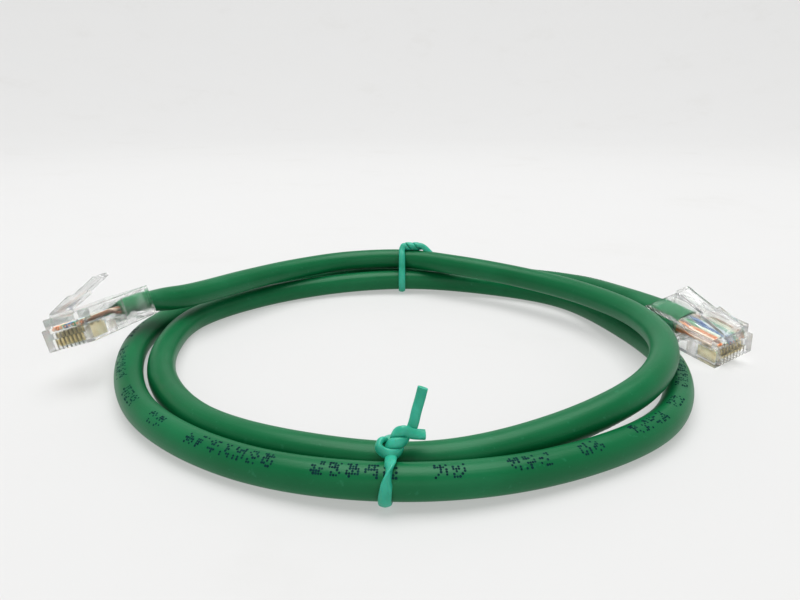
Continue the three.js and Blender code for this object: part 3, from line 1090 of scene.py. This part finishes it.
def front_tie():
    """One tape: stub, wound knot, behind the inner strand, under both, up the front with a half
    twist, through the knot and out as the long tail."""
    low = (-0.97, -56.5, 6.9)
    high = (0.95, -55.0, 10.0)
    camera_side = (0.0, -0.9, 0.42)
    radius = FRONT_KNOT_RADIUS
    stations = [
        ((4.1, -55.1, 9.35), (0.1, -0.6, 0.75), 1.0),
        ((3.2, -55.3, 9.5), (0.1, -0.7, 0.7), 1.0),
        ((2.2, -55.6, 9.75), (0.1, -0.8, 0.6), 1.0),
    ]
    stations += reversed(helix(low, high, radius, camera_side, 0.0, 1.03))
    stations += [
        # the eye at the left of the knot
        ((-2.1, -57.1, 7.55), (-0.5, -0.8, 0.1), 1.0),
        ((-2.75, -56.6, 8.1), (-0.95, -0.3, 0.2), 1.0),
        ((-2.5, -55.7, 8.6), (-0.6, 0.4, 0.6), 1.0),
        # over and down the inner strand, then under both
        ((-1.8, -54.4, 8.0), (0.0, 0.3, 1.0), 0.6),
        ((-1.3, -52.3, 7.25), (0.0, 0.2, 1.0), 0.2),
        ((-1.1, -50.1, 6.2), (0.0, 0.8, 0.7), 0.0),
        ((-1.1, -49.2, 3.85), (0.0, 1.0, 0.0), 0.0),
        ((-1.1, -50.1, 1.5), (0.0, 0.7, -0.7), 0.0),
        ((-1.2, -52.4, 0.63), (0.0, 0.0, -1.0), 0.0),
        ((-1.4, -55.8, 0.6), (0.0, 0.0, -1.0), 0.0),
        ((-1.6, -59.1, 0.63), (0.0, 0.0, -1.0), 0.0),
        ((-1.75, -61.4, 1.6), (0.0, -0.7, -0.7), 0.0),
        # the half twist on the front
        ((-1.75, -62.4, 3.2), (0.1, -1.0, 0.0), 0.0),
        ((-1.5, -62.1, 5.0), (0.6, -0.75, 0.3), 0.0),
        ((-1.2, -61.1, 6.3), (0.95, 0.1, 0.1), 0.0),
        ((-1.0, -59.8, 7.1), (0.5, 0.4, -0.7), 0.0),
        ((-0.95, -58.0, 7.0), (0.1, 0.2, -1.0), 0.5),
    ]
    stations += helix(low, high, radius, camera_side, 0.52, 1.0, share=0.84, count=9)
    stations += [
        # the long tail
        ((1.95, -54.4, 9.6), (0.35, 0.8, 0.1), 1.0),
        ((2.4, -54.0, 10.6), (0.4, 0.8, 0.1), 1.0),
        ((2.88, -53.5, 12.5), (0.4, 0.85, 0.1), 1.0),
        ((3.45, -53.1, 14.5), (0.4, 0.85, 0.1), 1.0),
        ((3.8, -53.0, 16.0), (0.4, 0.85, 0.1), 1.0),
    ]
    return tape("front_tie", stations)


def back_tie():
    """One tape round the three strands at the back, wound along the top of them."""
    near = (1.6, 61.4, 13.7)
    far = (5.9, 60.8, 13.8)
    above = (0.0, -0.7, 0.7)
    radius = BACK_KNOT_RADIUS
    stations = [
        # the first end, bent down in front of the upper strand
        ((9.7, 59.7, 11.6), (0.3, -0.9, 0.4), 0.1),
        ((8.9, 59.9, 12.4), (0.3, -0.9, 0.4), 0.1),
        ((7.9, 60.0, 13.4), (0.25, -0.85, 0.5), 0.3),
        ((6.9, 60.1, 14.1), (0.15, -0.75, 0.7), 0.8),
    ]
    stations += reversed(helix(near, far, radius, above, 0.05, 0.95))
    stations += [
        # down the inside of the coil
        ((1.0, 60.0, 12.9), (0.0, -0.6, 0.8), 0.6),
        ((1.0, 58.6, 11.2), (0.0, -0.9, 0.4), 0.2),
        ((1.0, 57.4, 8.4), (0.0, -0.93, 0.37), 0.0),
        ((1.0, 56.0, 5.4), (0.0, -0.95, 0.3), 0.0),
        ((1.0, 55.7, 3.3), (0.0, -1.0, -0.1), 0.0),
        # under the two lower strands
        ((1.0, 56.8, 1.3), (0.0, -0.7, -0.7), 0.0),
        ((1.0, 58.95, 0.63), (0.0, 0.0, -1.0), 0.0),
        ((1.0, 62.3, 0.6), (0.0, 0.0, -1.0), 0.0),
        ((1.0, 65.6, 0.63), (0.0, 0.0, -1.0), 0.0),
        ((1.0, 68.0, 1.6), (0.0, 0.7, -0.7), 0.0),
        # up the outside
        ((1.0, 68.9, 3.9), (0.0, 1.0, 0.1), 0.0),
        ((1.0, 68.4, 5.9), (0.0, 0.85, 0.5), 0.0),
        ((1.0, 66.5, 8.9), (0.0, 0.85, 0.5), 0.0),
        ((1.0, 64.7, 11.6), (0.0, 0.85, 0.5), 0.2),
        ((1.2, 63.0, 13.0), (0.0, 0.5, 0.85), 0.6),
    ]
    stations += helix(near, far, radius, above, 0.55, 0.9, share=0.95)
    stations += [
        # the second end, behind the upper strand
        ((6.8, 61.6, 13.2), (0.2, 0.4, -0.9), 1.0),
        ((8.2, 62.3, 12.9), (0.1, 0.3, -0.9), 1.0),
    ]
    return tape("back_tie", stations)


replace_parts(front_tie(), "twist_tie_front")
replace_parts(back_tie(), "twist_tie_back")


# ---------------------------------------------------------------- floor, light and camera

def floor_bowl():
    """A round pale board that curves up into a wall on every side."""
    profile = [(FLOOR_RADIUS, 0.0)]
    for k in range(1, BOWL_STEPS + 1):
        angle = math.radians(90 * k / BOWL_STEPS)
        profile.append((
            FLOOR_RADIUS + BOWL_RADIUS * math.sin(angle), BOWL_RADIUS * (1 - math.cos(angle)),
        ))
    profile.append((FLOOR_RADIUS + BOWL_RADIUS, WALL_TOP))
    points = [(0.0, 0.0, 0.0)]
    for out, height in profile:
        for k in range(BOWL_SIDES):
            angle = 2 * math.pi * k / BOWL_SIDES
            points.append((out * math.cos(angle), out * math.sin(angle), height))
    faces = [(0, 1 + k, 1 + (k + 1) % BOWL_SIDES) for k in range(BOWL_SIDES)]
    for i in range(len(profile) - 1):
        here = 1 + i * BOWL_SIDES
        ahead = here + BOWL_SIDES
        for k in range(BOWL_SIDES):
            m = (k + 1) % BOWL_SIDES
            faces.append((here + k, ahead + k, ahead + m, here + m))
    piece = add_object("floor", mesh_from("floor", points, faces), floor_material())


def area_light(name, place, aim, size, power):
    data = bpy.data.lights.new(name, "AREA")
    data.shape = "RECTANGLE"
    data.size, data.size_y = size
    data.energy = power
    made = link(bpy.data.objects.new(name, data))
    made.location = place
    made.rotation_euler = (Vector(aim) - Vector(place)).to_track_quat("-Z", "Y").to_euler()


def studio_world():
    """Faint, slightly cool light from all round."""
    world = bpy.data.worlds.new("studio")
    world.use_nodes = True
    background = world.node_tree.nodes["Background"]
    background.inputs["Color"].default_value = (0.97, 0.98, 1.0, 1.0)
    background.inputs["Strength"].default_value = 0.22
    return world


def add_camera():
    data = bpy.data.cameras.new("camera")
    data.lens = CAMERA_LENS
    data.sensor_width = CAMERA_SENSOR
    data.clip_start = 0.005
    made = link(bpy.data.objects.new("camera", data))
    made.location = Vector(CAMERA_PLACE) * MM
    made.rotation_euler = (math.radians(CAMERA_TILT), 0.0, 0.0)
    return made


floor_bowl()
area_light("overhead", (0.0, 0.05, 1.1), (0.0, 0.0, 0.0), (1.2, 0.9), 11.8)
area_light("front_fill", (0.1, -1.1, 0.40), (0.0, 0.0, 0.0), (1.2, 0.6), 1.4)
area_light("wall_wash", (0.0, 0.9, 1.5), (0.0, 1.5, 0.3), (1.6, 0.5), 6.0)

scene = bpy.context.scene
scene.world = studio_world()
scene.camera = add_camera()
scene.view_settings.view_transform = "Standard"
scene.view_settings.look = "Medium High Contrast"
